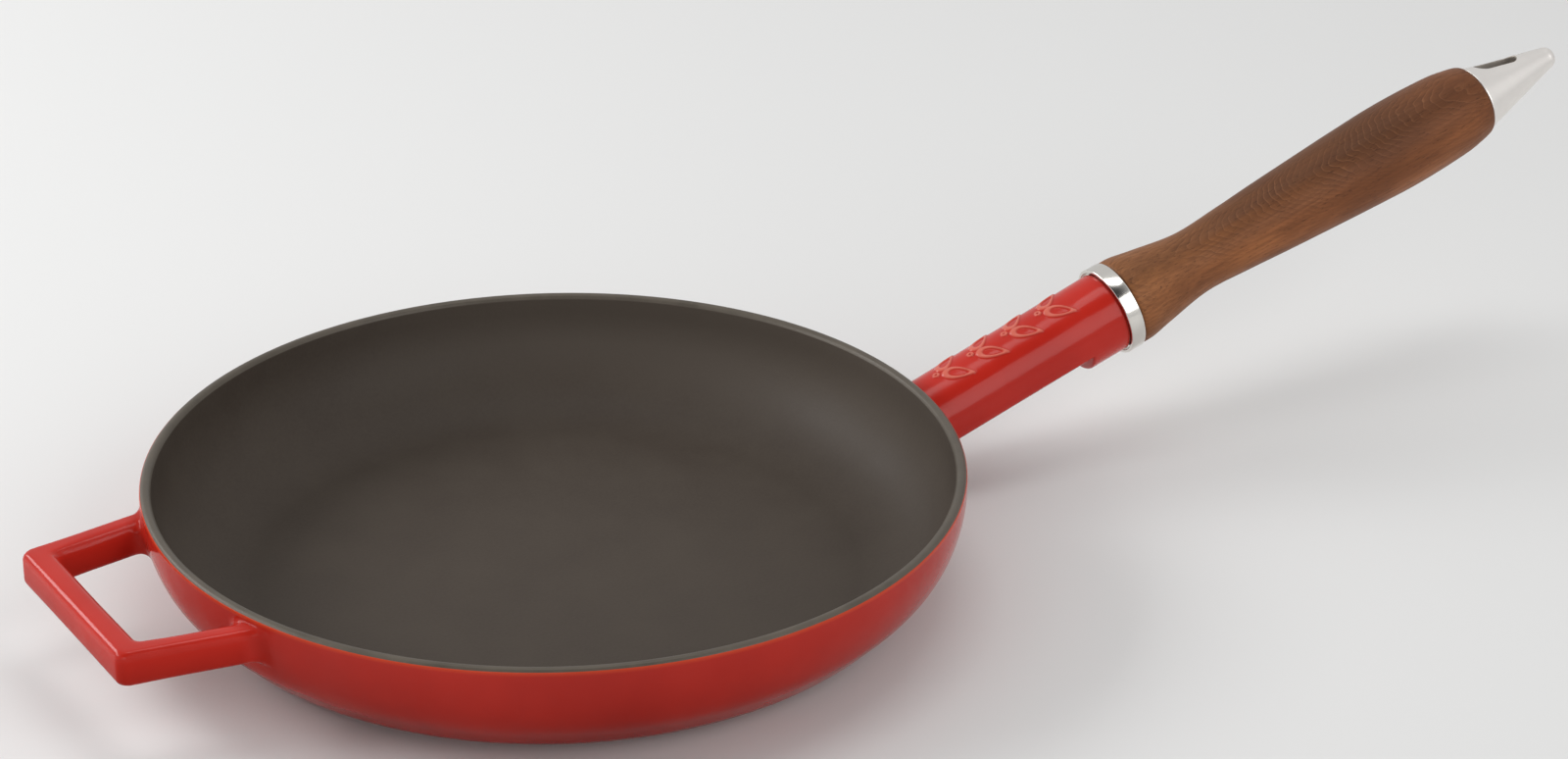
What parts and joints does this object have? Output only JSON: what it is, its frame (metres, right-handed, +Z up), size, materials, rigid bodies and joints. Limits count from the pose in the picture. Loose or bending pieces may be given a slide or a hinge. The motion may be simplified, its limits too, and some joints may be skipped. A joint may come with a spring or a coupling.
{
  "type": "cast iron skillet",
  "caption": "Enamelled cast iron skillet with a turned wooden grip on a cast stub, a metal end cap with a hanging slot, and a helper loop opposite.",
  "frame": {"origin": "centre of the pan's flat base, on the surface it stands on", "axes": "+Z up out of the bowl, +X along the main handle in plan, +Y to the left of the handle"},
  "size_m": [0.6046, 0.282, 0.1112],
  "materials": {
    "red_enamel": "gloss",
    "bright_steel": "polished",
    "oiled_wood": "satin",
    "satin_steel": "satin",
    "zinc_steel": "satin"
  },
  "bodies": {
    "skillet": {"pan_casting": "red_enamel", "grip_collar": "bright_steel", "wood_grip": "oiled_wood", "tie_rod": "zinc_steel", "rod_nut": "zinc_steel", "flat_washer": "zinc_steel", "spring_washer": "zinc_steel", "grip_dowel": "zinc_steel"},
    "cap_washer": {"cap_washer": "zinc_steel"},
    "end_cap": {"end_cap": "satin_steel"}
  },
  "joints": [
    {"name": "cap_travel", "type": "slide", "parent": "skillet", "child": "cap_washer", "axis": [0.9583, 0, 0.2857], "range_m": [0, 0.0125]},
    {"name": "cap_turn", "type": "hinge", "parent": "cap_washer", "child": "end_cap", "pos_m": [0.1394, 0, 0.0227], "axis": [0.9583, 0, 0.2857], "range_deg": [0, 3600]}
  ],
  "couplings": [
    {"joint": "cap_travel", "follows": "cap_turn", "m_per_rad": 0.00019894}
  ]
}
